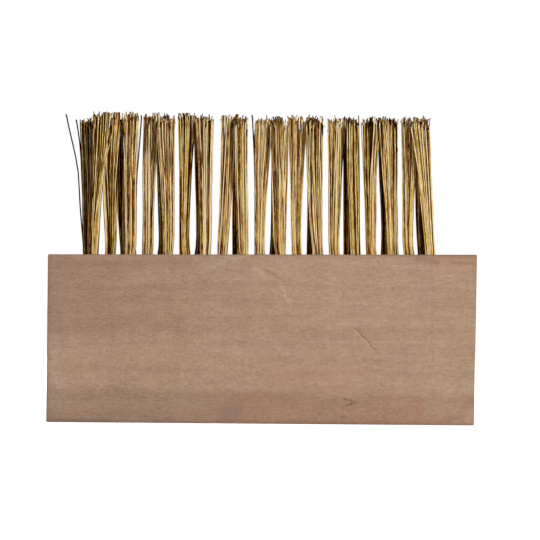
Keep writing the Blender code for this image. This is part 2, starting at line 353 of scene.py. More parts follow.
# Marks on the board's front face: start, end (both x, z), reach, strength and colour. They
# wander a little, are broken up by the grain and end behind the face.
MARK_WANDER_MM = (3, 0, 2)
MARK_WANDER_NOISE = ((0.35, 0.35, 0.35), 2.0)
MARK_GAP_EDGES = (0.38, 0.62)
MARK_GAP_SHARE = 0.30
MARK_DEPTH_MM = (0.5, 1.5)
FACE_MARKS_MM = (
    # Torn grain left by the plane, pale and dark
    ((-4.1, 86.7), (0.2, 84.1), 2.2, 0.35, (205, 182, 162)),
    ((2.4, 85.5), (10.7, 81.2), 1.1, 0.55, (112, 84, 66)),
    ((9.9, 78.9), (11.9, 74.0), 1.3, 0.30, (205, 182, 162)),
    ((11.9, 74.0), (14.5, 68.0), 1.3, 0.38, (205, 182, 162)),
    ((10.8, 71.8), (17.3, 68.5), 1.1, 0.25, (205, 182, 162)),
    ((-30.6, 87.4), (-13.8, 92.5), 5.0, 0.30, (190, 168, 146)),
    # One dark scratch with a raised edge
    ((52.6, 54.0), (63.5, 41.6), 1.2, 0.60, (108, 84, 62)),
    ((51.6, 53.2), (62.7, 40.6), 1.1, 0.20, (208, 186, 166)),
    # Line where the lower, darker wood begins, and a line under the top edge
    ((-113.0, 22.0), (-4.3, 19.2), 4.0, 0.20, (196, 170, 150)),
    ((-113.0, 88.6), (-40.6, 88.6), 3.5, 0.30, (132, 102, 82)),
    # Small knot with reddish wood beside it
    ((-20.5, 6.9), (-15.0, 8.0), 8.0, 0.45, (122, 102, 94)),
    ((-12.7, 11.9), (-4.3, 13.6), 8.0, 0.40, (160, 112, 92)),
    ((9.7, 26.0), (50.0, 26.0), 12.0, 0.30, (178, 130, 108)),
    ((24.6, 24.0), (44.8, 22.2), 1.6, 0.30, (206, 168, 148)),
    ((87.5, 13.0), (87.5, 6.3), 4.0, 0.35, (170, 108, 84)),
    # Dark specks
    ((46.4, 14.2), (48.1, 13.9), 1.0, 0.85, (84, 58, 44)),
    ((49.6, 13.4), (52.1, 12.0), 1.2, 0.75, (84, 58, 44)),
    ((47.2, 10.4), (50.6, 11.3), 1.1, 0.75, (84, 58, 44)),
    ((44.8, 4.1), (46.8, 4.8), 1.2, 0.85, (84, 58, 44)),
    ((-119.9, 35.4), (-117.8, 35.4), 1.0, 0.70, (84, 56, 44)),
    # Weathered corners and foot, and painted shade along the left of the foot's edge
    ((99.2, 92.4), (118.2, 91.8), 8.0, 0.45, (172, 124, 90)),
    ((86.6, 93.0), (96.9, 91.0), 3.2, 0.50, (118, 88, 68)),
    ((105.4, 90.8), (118.2, 90.5), 1.5, 0.50, (108, 74, 50)),
    ((113.8, 9.4), (118.1, 14.7), 6.0, 0.40, (126, 96, 76)),
    ((106.0, 5.2), (112.0, 4.1), 3.5, 0.35, (120, 92, 74)),
    ((107.0, 1.8), (116.3, 3.0), 1.4, 0.22, (206, 190, 178)),
    # Painted shade: a dark line along the left of the foot's edge
    ((-120.0, 1.4), (-85.4, 0.6), 1.8, 0.50, (110, 82, 78)),
    ((-119.5, 44.9), (-115.6, 24.8), 10.0, 0.30, (190, 164, 134)),
)

# Noises of a wire. The first two run over its tone, so that each wire has its own.
KIND_NOISE = ((29.0, 1.0, 1.0), 0.0)
STREAK_NOISE = ((41.0, 1.0, 0.11), 4.0, 0.66)
DRAWN_NOISE = ((1.9, 1.9, 0.03), 2.0, 0.7)
BLOTCH_NOISE = ((2.4, 2.4, 0.25), 3.0, 0.65)

# A wire's colour from its darkest to its brightest tone, evenly spaced, and that of a cut end.
# The darkest is the deep brown of painted shade, the brightest the pale of painted highlights.
WIRE_TONES = ((42, 8, 0), (108, 54, 10), (197, 154, 76), (236, 203, 132), (255, 234, 184))
CUT_END_COLOUR = (70, 38, 12)
CUT_END_EDGES = (0.35, 1.0)
CUT_END_SHARE = 0.62

# Tints of a wire, coppery, greenish and tarnished: noise, where it comes in, and factors
WIRE_TINTS = (
    ("kind", (0.54, 0.66), (1.04, 0.91, 0.85, 1)),
    ("kind", (0.44, 0.34), (0.94, 1.0, 0.72, 1)),
    ("blotch", (0.56, 0.74), (0.60, 0.51, 0.35, 1)),
)

# How far tones lie apart near the wood and at a height above it, and what noises add to them.
# The wider spread higher up paints more shade between the wires, which part there.
TONE_SPREAD = (0.85, 1.05)
TONE_SPREAD_MM = 40
DRAWN_SHADES = (0.32, 0.68, -0.06, 0.06)
STREAK_SHADES = (0.28, 0.72, 0.28, -0.28)
WIRE_ROUGHNESS = (0.34, 0.50)
WIRE_SHEEN = (0.85, 0.55, 0.22, 1)

# Noises and colours of the staples' steel
STEEL_DRAWN_NOISE = ((3.0, 9.0, 0.6), 2.0)
STEEL_DRAWN_EDGES = (0.3, 0.7)
STEEL_BLOOM_NOISE = ((0.7, 0.7, 0.7), 3.0, 0.6)
STEEL_BLOOM_EDGES = (0.5, 0.75)
STEEL_BLOOM_SHARE = 0.5
STEEL_DARK = (150, 150, 148)
STEEL_BRIGHT = (190, 190, 186)
STEEL_BLOOM = (130, 104, 78)
STEEL_ROUGHNESS = (0.30, 0.45)


class Graph:
    """Short calls for building a material's node tree."""

    def __init__(self, name):
        self.material = bpy.data.materials.new(name)
        self.material.use_nodes = True
        self.tree = self.material.node_tree
        self.shader = self.tree.nodes["Principled BSDF"]

    def link(self, value, socket):
        """Puts a value, or another node's output, into a socket."""
        if isinstance(value, bpy.types.NodeSocket):
            self.tree.links.new(value, socket)
        else:
            socket.default_value = value

    def shade(self, **values):
        """Sets the shader's own sockets, whose names are written with _ for a space."""
        for label, value in values.items():
            self.link(value, self.shader.inputs[label.replace("_", " ")])

    def coordinates(self):
        """Place in the object, in millimetres."""
        node = self.tree.nodes.new("ShaderNodeTexCoord")
        return self.vector("SCALE", node.outputs["Object"], scale=1 / MM)

    def vector(self, operation, a, b=None, scale=None):
        node = self.tree.nodes.new("ShaderNodeVectorMath")
        node.operation = operation
        self.link(a, node.inputs[0])
        if b is not None:
            self.link(b, node.inputs[1])
        if scale is not None:
            self.link(scale, node.inputs["Scale"])
        if operation in ("LENGTH", "DOT_PRODUCT", "DISTANCE"):
            return node.outputs["Value"]
        return node.outputs["Vector"]

    def math(self, operation, a, b, clamp=False):
        node = self.tree.nodes.new("ShaderNodeMath")
        node.operation = operation
        node.use_clamp = clamp
        self.link(a, node.inputs[0])
        self.link(b, node.inputs[1])
        return node.outputs[0]

    def add(self, a, b):
        return self.math("ADD", a, b)

    def multiply(self, a, b):
        return self.math("MULTIPLY", a, b)

    def split(self, vector):
        node = self.tree.nodes.new("ShaderNodeSeparateXYZ")
        self.link(vector, node.inputs[0])
        return node.outputs[0], node.outputs[1], node.outputs[2]

    def join(self, x, y, z):
        node = self.tree.nodes.new("ShaderNodeCombineXYZ")
        for value, socket in zip((x, y, z), node.inputs):
            self.link(value, socket)
        return node.outputs[0]

    def noise_node(self, place, density, detail, roughness=0.5, distortion=0.0):
        """Noise with its number of features to a unit along each axis."""
        node = self.tree.nodes.new("ShaderNodeTexNoise")
        self.link(self.vector("MULTIPLY", place, density), node.inputs["Vector"])
        node.inputs["Scale"].default_value = 1.0
        node.inputs["Detail"].default_value = detail
        node.inputs["Roughness"].default_value = roughness
        node.inputs["Distortion"].default_value = distortion
        return node

    def noise(self, place, *values):
        """One noise, with the values of noise_node."""
        return self.noise_node(place, *values).outputs[0]

    def three_noises(self, place, *values):
        """Three separate noises as a vector, with the values of noise_node."""
        return self.noise_node(place, *values).outputs[1]

    def range(self, value, low, high, to_low=0.0, to_high=1.0):
        """Maps low..high to to_low..to_high on a smooth step."""
        node = self.tree.nodes.new("ShaderNodeMapRange")
        node.interpolation_type = "SMOOTHSTEP"
        for given, socket in zip((value, low, high, to_low, to_high), node.inputs):
            self.link(given, socket)
        return node.outputs[0]

    def mix(self, factor, a, b, blend="MIX"):
        """Mixes two colours, by the colour sockets of the node, which serves other types too."""
        node = self.tree.nodes.new("ShaderNodeMix")
        node.data_type = "RGBA"
        node.blend_type = blend
        self.link(factor, node.inputs[0])
        self.link(a, node.inputs[6])
        self.link(b, node.inputs[7])
        return node.outputs[2]

    def sum(self, base, *terms):
        """The base plus each value, taken about one half, times its weight."""
        total = base
        for value, weight in terms:
            total = self.add(total, self.multiply(self.math("SUBTRACT", value, 0.5), weight))
        return total

    def near_line(self, point, start, end, reach):
        """1 on the straight line between two points, falling to 0 at reach from it."""
        run = end - start
        offset = self.vector("SUBTRACT", point, start)
        share = self.vector("DOT_PRODUCT", offset, run / run.length_squared)
        closest = self.vector("SCALE", run, scale=self.math("ADD", share, 0.0, clamp=True))
        return self.range(self.vector("DISTANCE", offset, closest), 0.0, reach, 1.0, 0.0)

    def ramp(self, value, colours):
        """A ramp of evenly spaced colours from 0 to 1."""
        node = self.tree.nodes.new("ShaderNodeValToRGB")
        self.link(value, node.inputs[0])
        stops = node.color_ramp.elements
        stops[0].color = colours[0]
        stops[1].color = colours[-1]
        for index in range(1, len(colours) - 1):
            stops.new(index / (len(colours) - 1)).color = colours[index]
        return node.outputs[0]

    def attribute(self, name):
        node = self.tree.nodes.new("ShaderNodeAttribute")
        node.attribute_name = name
        return node.outputs["Fac"]

    def bump(self, height, distance, strength):
        node = self.tree.nodes.new("ShaderNodeBump")
        node.inputs["Strength"].default_value = strength
        node.inputs["Distance"].default_value = distance
        self.link(height, node.inputs["Height"])
        self.shade(Normal=node.outputs[0])


def rgb(red, green, blue):
    """A colour written as 0 to 255 values on a screen."""
    return tuple((value / 255) ** 2.2 for value in (red, green, blue)) + (1.0,)


def add_rings(graph, place, grain, wood):
    """The wood's plain colour: growth rings, yellower stretches and dark pores."""
    from_pith = graph.vector("MULTIPLY", graph.vector("SUBTRACT", place, PITH_MM), (0, 1, 1))
    wander = graph.multiply(grain["wander"], RING_WANDER_MM)
    radius = graph.add(graph.vector("LENGTH", from_pith), wander)
    x, _, _ = graph.split(place)
    rings = graph.noise(graph.join(x, 0.0, radius), *RING_NOISE)
    colour = graph.mix(graph.range(rings, *RING_EDGES), wood["dark_ring"], wood["pale_ring"])
    yellower = graph.range(grain["hue"], *YELLOWER_EDGES, 0.0, WOOD_SHARES["yellower"])
    colour = graph.mix(yellower, colour, wood["yellower"])
    return graph.mix(graph.multiply(grain["pore"], WOOD_SHARES["pore"]), colour, wood["pore"])


def add_left_shade_and_foot(graph, place, grain, wood, colour):
    """Painted shade on the left part, above a light band, and darker wood along the foot."""
    x, _, z = graph.split(place)
    level = graph.sum(z, (grain["wander"], LEVEL_WANDER_MM))
    above_band = graph.range(level, *LIGHT_BAND_MM, BELOW_BAND_SHARE, 1.0)
    # Painted shade, darkening the board to the left, less so below the light band
    left = graph.multiply(graph.range(x, *LEFT_SHADE_MM), above_band)
    colour = graph.mix(graph.multiply(left, WOOD_SHARES["left_shade"]), colour, wood["left_shade"])
    off_end = graph.range(x, *FOOT_PART_MM, FOOT_END_SHARE, 1.0)
    foot = graph.multiply(graph.range(level, *FOOT_BAND_MM), off_end)
    change = graph.range(x, *FOOT_COLOUR_CHANGE_MM)
    foot_colour = graph.mix(change, wood["foot_left"], wood["foot_right"])
    return graph.mix(graph.multiply(foot, WOOD_SHARES["foot"]), colour, foot_colour)


def add_marks(graph, place, grain, colour):
    """Draws the marks of the front face, wandering a little and broken up by the grain."""
    _, y, _ = graph.split(place)
    depths = [BLOCK_LOW.y / MM + depth for depth in MARK_DEPTH_MM]
    on_front = graph.range(y, *depths, 1.0, 0.0)
    shift = graph.vector("SUBTRACT", graph.three_noises(place, *MARK_WANDER_NOISE), (0.5, 0.5, 0.5))
    flat_place = graph.vector("MULTIPLY", place, (1, 0, 1))
    spot = graph.vector("ADD", flat_place, graph.vector("MULTIPLY", shift, MARK_WANDER_MM))
    for start, end, reach, strength, mark_colour in FACE_MARKS_MM:
        ends = [Vector((x, 0, z)) for x, z in (start, end)]
        near = graph.near_line(spot, *ends, reach)
        broken = graph.range(grain["fine"], *MARK_GAP_EDGES, MARK_GAP_SHARE * strength, strength)
        factor = graph.multiply(graph.multiply(near, broken), on_front)
        colour = graph.mix(factor, colour, rgb(*mark_colour))
    return colour


def wood_material():
    """Planed pinkish hardwood: growth rings, long fine pores, mottling and a few marks."""
    graph = Graph("hardwood")
    place = graph.coordinates()
    wood = {name: rgb(*colour) for name, colour in WOOD_COLOURS.items()}
    grain = {name: graph.noise(place, *values) for name, values in GRAIN_NOISES.items()}
    grain["pore"] = graph.range(grain["pores"], *PORE_EDGES)

    colour = add_rings(graph, place, grain, wood)
    colour = add_left_shade_and_foot(graph, place, grain, wood, colour)
    shades = [(grain[name], weight) for name, weight in SHADE_WEIGHTS.items()]
    colour = graph.vector("SCALE", colour, scale=graph.sum(1.0, *shades))
    colour = add_marks(graph, place, grain, colour)
    # Painted shade along the board's edges
    edge_shade = graph.multiply(graph.attribute("edge"), WOOD_SHARES["edge_shade"])
    colour = graph.mix(edge_shade, colour, wood["edge_shade"])

    rough = graph.range(grain["fibre"], 0.2, 0.8, *WOOD_ROUGHNESS)
    graph.shade(Base_Color=colour, Roughness=rough, Specular_IOR_Level=0.28)
    relief = [(grain[name], weight) for name, weight in RELIEF_WEIGHTS.items()]
    graph.bump(graph.sum(0.0, *relief), RELIEF_HEIGHT, strength=0.7)
    return graph.material


def wire_material():
    """Steel wire with a thin brass coat: golden, browner in places, dark at its cut ends.

    The mesh says how bright a wire is (tone) and where its cut ends are (tip).
    """
    graph = Graph("brassed_wire")
    place = graph.coordinates()
    _, _, z = graph.split(place)
    tone = graph.attribute("tone")
    streak = graph.noise(graph.join(tone, 0.0, z), *STREAK_NOISE)
    drawn = graph.noise(place, *DRAWN_NOISE)
    noises = {
        "kind": graph.noise(graph.join(tone, 0.0, 0.0), *KIND_NOISE),
        "blotch": graph.noise(place, *BLOTCH_NOISE),
    }

    foot = BLOCK_HIGH.z / MM
    # Tones lie further apart higher up, as more painted shade between the wires
    spread = graph.range(z, foot, foot + TONE_SPREAD_MM, *TONE_SPREAD)
    shade = graph.add(graph.multiply(graph.math("SUBTRACT", tone, 0.5), spread), 0.5)
    shade = graph.add(shade, graph.range(drawn, *DRAWN_SHADES))
    shade = graph.add(shade, graph.range(streak, *STREAK_SHADES))
    colour = graph.ramp(shade, [rgb(*tone_colour) for tone_colour in WIRE_TONES])
    for name, edges, tint in WIRE_TINTS:
        colour = graph.mix(graph.range(noises[name], *edges), colour, tint, "MULTIPLY")
    cut_end = graph.range(graph.attribute("tip"), *CUT_END_EDGES, 0.0, CUT_END_SHARE)
    colour = graph.mix(cut_end, colour, rgb(*CUT_END_COLOUR))

    rough = graph.range(noises["blotch"], 0.2, 0.8, *WIRE_ROUGHNESS)
    graph.shade(Base_Color=colour, Roughness=rough, Metallic=0.09)
    graph.shade(Specular_IOR_Level=0.01, Specular_Tint=WIRE_SHEEN)
    graph.bump(drawn, 0.00004, strength=0.5)
    return graph.material


def steel_material():
    """Drawn steel of the staples, grey with a faint brown bloom."""
    graph = Graph("staple_steel")
    place = graph.coordinates()
    drawn = graph.noise(place, *STEEL_DRAWN_NOISE)
    bloom = graph.noise(place, *STEEL_BLOOM_NOISE)
    bright = graph.range(drawn, *STEEL_DRAWN_EDGES)
    colour = graph.mix(bright, rgb(*STEEL_DARK), rgb(*STEEL_BRIGHT))
    brown = graph.range(bloom, *STEEL_BLOOM_EDGES, 0.0, STEEL_BLOOM_SHARE)
    colour = graph.mix(brown, colour, rgb(*STEEL_BLOOM))
    rough = graph.range(drawn, *STEEL_DRAWN_EDGES, *STEEL_ROUGHNESS)
    graph.shade(Base_Color=colour, Roughness=rough, Metallic=1.0)
    graph.bump(drawn, 0.00002, strength=0.5)
    return graph.material


def add_object(name, data):
    obj = bpy.data.objects.new(name, data)
    bpy.context.scene.collection.objects.link(obj)
    return obj


def object_from_bmesh(bm, name):
    mesh = bpy.data.meshes.new(name)
    bm.to_mesh(mesh)
    bm.free()
    return add_object(name, mesh)


def smooth(mesh, sharp_deg):
    """Shades a mesh smooth, apart from edges sharper than the angle."""
    mesh.shade_smooth()
    mesh.set_sharp_from_angle(angle=math.radians(sharp_deg))


def store(mesh, name, values):
    """Keeps one number for each vertex of a mesh, for its material."""
    layer = mesh.attributes.new(name, "FLOAT", "POINT")
    layer.data.foreach_set("value", values.astype(np.float32))


def slice_evenly(bm, axis):
    """Cuts the board into even slices across one axis."""
    low = BLOCK_LOW[axis]
    high = BLOCK_HIGH[axis]
    normal = Vector((0, 0, 0))
    normal[axis] = 1
    count = round((high - low) / SLICE)
    for index in range(1, count):
        point = Vector((0, 0, 0))
        point[axis] = low + (high - low) * index / count
        geometry = bm.verts[:] + bm.edges[:] + bm.faces[:]
        bmesh.ops.bisect_plane(bm, geom=geometry, plane_co=point, plane_no=normal, dist=1e-7)


def sawn_top(x):
    """Height of the board's upper face, which is out of level as sawn."""
    along = (x - BLOCK_LOW.x) / (BLOCK_HIGH.x - BLOCK_LOW.x)
    return BLOCK_HIGH.z - LEFT_TOP_DROP * (1 - along) + RIGHT_TOP_RISE * along


def square_off(point):
    """Moves a point of the true box onto the board as sawn, which is a little out of square."""
    low = BLOCK_LOW
    high = BLOCK_HIGH
    along = (point.x - low.x) / (high.x - low.x)
    up = (point.z - low.z) / (high.z - low.z)
    left = low.x + LEFT_TOP_INSET * up
    right = high.x - RIGHT_TOP_INSET * up - RIGHT_FOOT_INSET * (1 - up)
    height = low.z + (sawn_top(point.x) - low.z) * up
    return Vector((left + (right - left) * along, point.y, height))


def wear(point):
    """How far a point near the board's edges is worn or dented inwards."""
    rub = sum(noise.noise(point * density) * share for density, share in WEAR_NOISES)
    return max(0.0, rub) * WEAR_DEPTH


def tuft_axes():
    """Name and hole centre of every tuft, read from the staple that holds it."""
    axes = []
    for name in sorted(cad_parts):
        if name.startswith("staple_"):
            low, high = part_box(name)
            centre = (low + high) / 2
            axes.append((name.removeprefix("staple_"), centre.x, centre.y))
    return axes


def add_drill(bm, x, y):
    """A drill's shape, with a ragged countersink where it leaves the block's upper face."""
    top = sawn_top(x)
    profile = (
        (BLOCK_HIGH.z - HOLE_DEPTH, HOLE_RADIUS),
        (top - RIM_DEPTH, HOLE_RADIUS),
        (top, HOLE_RADIUS + RIM_WIDTH),
        (top + CUTTER_OVERRUN, HOLE_RADIUS + RIM_WIDTH * RIM_FLARE),
    )
    rings = []
    for z, radius in profile:
        ring = []
        for side in range(HOLE_SIDES):
            angle = 2 * math.pi * side / HOLE_SIDES
            across = math.cos(angle)
            along = math.sin(angle)
            reach = radius
            if z >= top:
                place = (
                    x * RIM_NOISE_BY_PLACE + across * RIM_NOISE_BY_TURN,
                    y * RIM_NOISE_BY_PLACE + along * RIM_NOISE_BY_TURN,
                    RIM_NOISE_START,
                )
                reach = radius + RIM_RAGGEDNESS * noise.noise(Vector(place))
            ring.append(bm.verts.new((x + reach * across, y + reach * along, z)))
        rings.append(ring)
    for lower, upper in zip(rings, rings[1:]):
        for side in range(HOLE_SIDES):
            after = (side + 1) % HOLE_SIDES
            bm.faces.new((lower[side], lower[after], upper[after], upper[side]))
    bm.faces.new(reversed(rings[0]))
    bm.faces.new(rings[-1])


def cut(obj, bm, name):
    """Cuts a shape out of an object."""
    bmesh.ops.recalc_face_normals(bm, faces=bm.faces)
    cutter = object_from_bmesh(bm, name)
    modifier = obj.modifiers.new("cut", "BOOLEAN")
    modifier.operation = "DIFFERENCE"
    modifier.solver = "EXACT"
    modifier.object = cutter
    evaluated = obj.evaluated_get(bpy.context.evaluated_depsgraph_get())
    mesh = bpy.data.meshes.new_from_object(evaluated)
    obj.modifiers.clear()
    obj.data = mesh
    bpy.data.objects.remove(cutter)


def build_board(material):
    """The board as sawn and worn, in small facets, without its holes."""
    bm = bmesh.new()
    bmesh.ops.create_cube(bm, size=1.0)
    bmesh.ops.scale(bm, verts=bm.verts, vec=BLOCK_HIGH - BLOCK_LOW)
    centre = (BLOCK_LOW + BLOCK_HIGH) / 2
    bmesh.ops.translate(bm, verts=bm.verts, vec=centre)
    bmesh.ops.bevel(
        bm, geom=bm.edges[:], offset=EDGE_RADIUS, segments=EDGE_SEGMENTS, profile=0.5, affect="EDGES"
    )
    for axis in range(3):
        slice_evenly(bm, axis)
    for vert in bm.verts:
        sides = zip(BLOCK_LOW, vert.co, BLOCK_HIGH)
        near = sorted(min(at - low, high - at) for low, at, high in sides)
        if near[1] < EDGE_RADIUS * WEAR_REACH:
            inward = (centre - vert.co).normalized()
            vert.co += Vector((0, inward.y, inward.z)) * wear(vert.co)
        vert.co = square_off(vert.co)
    board = object_from_bmesh(bm, "planed_block")
    smooth(board.data, sharp_deg=40)
    board.data.materials.append(material)
    return board


def build_block(material):
    """The board with its tuft holes and its handle socket."""
    block = build_board(material)
    drills = bmesh.new()
    for _, x, y in tuft_axes():
        add_drill(drills, x, y)
    cut(block, drills, "drills")

    reamer = bmesh.new()
    made = bmesh.ops.create_cone(
        reamer,
        cap_ends=True,
        segments=SOCKET_SIDES,
        radius1=SOCKET_MOUTH_RADIUS * SOCKET_OVERRUN_WIDENING,
        radius2=SOCKET_END_RADIUS,
        depth=SOCKET_DEPTH + CUTTER_OVERRUN,
    )
    middle = (0, 0, (SOCKET_DEPTH - CUTTER_OVERRUN) / 2)
    bmesh.ops.translate(reamer, verts=made["verts"], vec=middle)
    cut(block, reamer, "reamer")
    smooth(block.data, sharp_deg=35)
    mark_edges(block.data)
    return block


def mark_edges(mesh):
    """Stores how close each vertex is to the board's outer edges, for the painted shade there."""
    points = np.empty(len(mesh.vertices) * 3)
    mesh.vertices.foreach_get("co", points)
    points = points.reshape(-1, 3)
    near = np.minimum(points - np.array(BLOCK_LOW), np.array(BLOCK_HIGH) - points)
    near.sort(axis=1)
    store(mesh, "edge", np.clip(1 - near[:, 1] / EDGE_SHADE_REACH, 0, 1))


def relax(points, least, limit, rounds):
    """Pushes points apart until few are nearer than least, inside a disc of the given limit."""
    for _ in range(rounds):
        gap = points[:, None] - points[None, :]
        distance = np.linalg.norm(gap, axis=2)
        np.fill_diagonal(distance, 1.0)
        push = np.clip(least - distance, 0, None) / np.maximum(distance, NEAR_ZERO) * PUSH_SHARE
        points = points + (gap * push[..., None]).sum(axis=1)
        reach = np.linalg.norm(points, axis=1)
        points = points * np.minimum(1, limit / np.maximum(reach, NEAR_ZERO))[:, None]
    return points


def wire_feet(chance, count):
    """Where a tuft's wires stand in the mouth of their hole: an even spiral, disturbed a little."""
    index = np.arange(count)
    angle = index * math.pi * (3 - math.sqrt(5)) + chance.uniform(0, 2 * math.pi)
    reach = BUNDLE_RADIUS * np.sqrt((index + 0.5) / count)
    feet = np.stack([reach * np.cos(angle), reach * np.sin(angle)], axis=1)
    feet += chance.normal(0, FOOT_SCATTER, feet.shape)
    return relax(feet, 2 * WIRE_RADIUS, BUNDLE_RADIUS, FOOT_ROUNDS)


def wire_tips(chance, row, feet):
    """Where the same wires end, seen from above, and which lock each one belongs to."""
    tips = feet.copy()
    tips[:, 1] += MM * (ROW_LEAN_Y_MM[row] + TIP_SPREAD_Y_MM * feet[:, 1] / BUNDLE_RADIUS)

    # Wires gather in a few locks, with gaps between these
    centres = chance.uniform(-LOCK_REACH, LOCK_REACH, (LOCKS, 2)) * BUNDLE_RADIUS
    lock = np.argmin(np.linalg.norm(feet[:, None] - centres[None], axis=2), axis=1)
    for index in np.unique(lock):
        mine = lock == index
        middle = tips[mine].mean(axis=0)
        tips[mine] = middle + (tips[mine] - middle) * chance.uniform(*LOCK_GATHERING)
        tips[mine] += chance.normal(0, LOCK_SHIFT, 2)
    tips += chance.normal(0, TIP_JITTER, tips.shape)

    wild = chance.random(len(feet)) < WILD_SHARE
    tips[wild] += chance.normal(0, 1.0, (wild.sum(), 2)) * WILD_SCATTER
    return tips, lock


def fit_sides(points, rest, name, height):
    """Stretches a tuft across, so that the sides of the rest stand as the table says there."""
    left, right = np.array(SIDE_SHIFTS_MM[name]).T * MM
    heights = np.array(SIDE_HEIGHTS_MM) * MM
    left = np.interp(height, heights, left) - BUNDLE_RADIUS
    right = np.interp(height, heights, right) + BUNDLE_RADIUS
    low, high = np.percentile(points[rest, 0], SIDE_PERCENTILES)
    across = left + (points[:, 0] - low) * (right - left) / (high - low)
    rank = np.argsort(np.argsort(points[:, 0])) / (len(points) - 1)
    even = left + rank * (right - left)
    evenness = EVENNESS.get(name, 0.0)
    across = (1 - evenness) * np.clip(across, left, right) + evenness * even
    share = min(1.0, FIT_START + height / FIT_HEIGHT)
    points[:, 0] += share * (across - points[:, 0])


def crossing_wires(chance, name, feet):
    """The wires that cross a neighbour, how far their tips lean, and the power of that lean."""
    if name not in CROSSING_MM:
        return [], 0.0, 1.0
    number, lean, power = CROSSING_MM[name]

    # Those nearest to the side that they lean to, and to the front
    away = -feet[:, 0] * np.sign(lean) + feet[:, 1] * CROSSING_FRONT_WEIGHT
    wires = np.argsort(away)[:number]
    fan = np.linspace(*CROSSING_FAN, number)[:, None]
    leans = fan * np.array([lean, CROSSING_LEAN_Y_MM]) * MM
    return wires, leans + chance.normal(0, CROSSING_SCATTER, (number, 2)), power


def bend_strays(placed, levels, name, feet):
    """Bends single wires away from their tuft, and says which."""
    routes = STRAYS_MM.get(name, ())
    side = np.sign(routes[0][0][1]) if routes else 1
    strays = np.argsort(-side * feet[:, 0])[: len(routes)]
    above = levels > 0
    for wire, route in zip(strays, routes):
        heights, offsets = np.array(route).T * MM
        placed[above, wire, 0] = np.interp(levels[above], heights, offsets)
    return strays


def lay_out_wires(chance, name, row, count):
    """Where each wire passes each level, as (levels, wires, 2).

    Gives the levels, these places, each wire's lock, and the wires that cross or stray.
    """
    levels = np.array(WIRE_LEVELS_MM) * MM
    feet = wire_feet(chance, count)
    tips, lock = wire_tips(chance, row, feet)
    crossing, lean, power = crossing_wires(chance, name, feet)
    rest = ~np.isin(np.arange(count), crossing)
    bow = chance.uniform(*BOW, count)
    sway = chance.normal(0, SWAY, (count, 2))
    waves = chance.uniform(*HALF_WAVES, count)
    placed = []
    for height in levels:
        up = max(0.0, height) / TIP_HEIGHT
        share = (up**bow)[:, None]
        point = feet + (tips - feet) * share
        point += sway * np.sin(math.pi * up * waves)[:, None]
        limit = BUNDLE_RADIUS if height <= 0 else math.inf
        point = relax(point, CLOSE_PACKING * WIRE_RADIUS, limit, FREE_ROUNDS)
        if height > 0:
            fit_sides(point, rest, name, height)
        if len(crossing):
            point[crossing] += lean * up**power
        placed.append(point)
    placed = np.array(placed)
    strays = bend_strays(placed, levels, name, feet)
    return levels, placed, lock, crossing, strays


def tip_heights(chance, name, longer, strays, count):
    """How high each wire reaches above the block, below its cut end."""
    end_length = END_STEPS * END_STEP
    heights = TIP_HEIGHT + longer * MM + chance.normal(0, TIP_SCATTER, count)
    heights = np.clip(heights, *TIP_LIMITS) - end_length
    short = chance.random(count) < SHORT_SHARE
    heights[short] -= chance.uniform(*SHORTER_BY, short.sum())
    for wire, route in zip(strays, STRAYS_MM.get(name, ())):
        heights[wire] = route[-1][0] * MM - end_length
    return heights


def end_wire(chance, path, mark, rings):
    """Adds a short bent end to a wire's path, as shears leave it, and marks it."""
    bend = END_BEND if chance.random() < END_SLIGHT_SHARE else END_SHARP_BEND
    hook = chance.normal(0, bend, 2)
    step = path[rings - 1] - path[rings - 2]
    for index in range(rings, rings + END_STEPS):
        step = step / np.linalg.norm(step) + np.array([hook[0], hook[1], 0])
        step /= np.linalg.norm(step)
        path[index] = path[index - 1] + step * END_STEP
    mark[rings - 1 :] = END_MARKS


def trace_wires(chance, levels, placed, heights):
    """Each wire's path up from its hole, from the hole's mouth, and the marks of its cut end."""
    count = len(heights)
    rings = len(levels)
    path = np.zeros((count, rings + END_STEPS, 3))
    mark = np.zeros((count, rings + END_STEPS))
    for wire in range(count):
        above = levels[MOUTH:] * heights[wire] / levels[-1]
        stations = np.concatenate([levels[:MOUTH], above])
        for axis in range(2):
            path[wire, :rings, axis] = np.interp(stations, levels, placed[:, wire, axis])
        path[wire, :rings, 2] = stations
        end_wire(chance, path[wire], mark[wire], rings)
    return path, mark


def pair_wires(mouth):
    """Pairs each wire in front of the staple with one behind it, the outer pairs lowest.

    Takes the wires' places in the hole's mouth. Gives each pair's layer, column and two wires.
    """
    order = np.argsort(mouth[:, 1])
    front = order[:PAIRS_PER_TUFT][::-1]
    back = order[PAIRS_PER_TUFT:]
    pairs = []
    for layer in range(PAIRS_PER_TUFT // FOLD_COLUMNS):
        part = slice(layer * FOLD_COLUMNS, (layer + 1) * FOLD_COLUMNS)
        ones = sorted(front[part], key=lambda wire: mouth[wire, 0])
        twos = sorted(back[part], key=lambda wire: mouth[wire, 0])
        for column, (one, two) in enumerate(zip(ones, twos)):
            pairs.append((layer, column, one, two))
    return pairs


def fold_route(start, end, column, layer, crown):
    """The bend of one wire under the staple's crown, from its foot in front to the one behind."""
    half = FOLD_HALF_SPAN + FOLD_LAYER_SPAN * layer
    x = (column - (FOLD_COLUMNS - 1) / 2) * FOLD_COLUMN_STEP
    bottom = crown - FOLD_DROP - FOLD_LAYER_DROP * layer
    turn = crown + FOLD_TURN_RISE
    points = [(x, -half, turn + FOLD_LEG)]
    for angle in np.linspace(0, math.pi, FOLD_POINTS):
        points.append((x, -half * math.cos(angle), turn + (bottom - turn) * math.sin(angle)))
    points.append((x, half, turn + FOLD_LEG))
    points = np.array(points)
    points[0] = points[0] * (1 - FOLD_LEG_PULL) + start * FOLD_LEG_PULL
    points[-1] = points[-1] * (1 - FOLD_LEG_PULL) + end * FOLD_LEG_PULL
    return points


